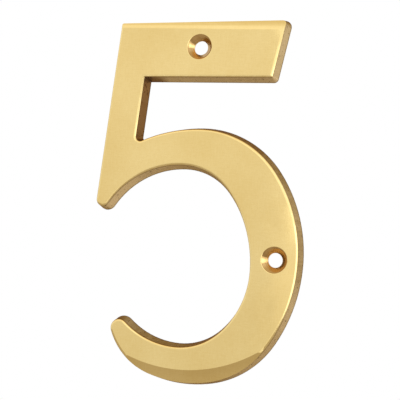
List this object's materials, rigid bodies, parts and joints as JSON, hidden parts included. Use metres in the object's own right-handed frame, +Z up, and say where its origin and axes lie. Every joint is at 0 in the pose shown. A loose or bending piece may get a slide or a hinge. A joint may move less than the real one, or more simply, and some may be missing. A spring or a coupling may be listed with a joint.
{
  "type": "door number",
  "caption": "Cast brass door number shaped as the figure five, hollow at the back, with countersunk screw holes for fixing it flat on a door.",
  "frame": {"origin": "on the axis of the upper screw hole, in the plane of the back rim that lies on the door", "axes": "+Z up the figure, +X to the reader's right, +Y into the door; the polished face looks to -Y"},
  "size_m": [0.0612, 0.004, 0.102],
  "materials": {
    "brass": "polished"
  },
  "bodies": {
    "root": {"numeral_five": "brass"}
  },
  "joints": []
}
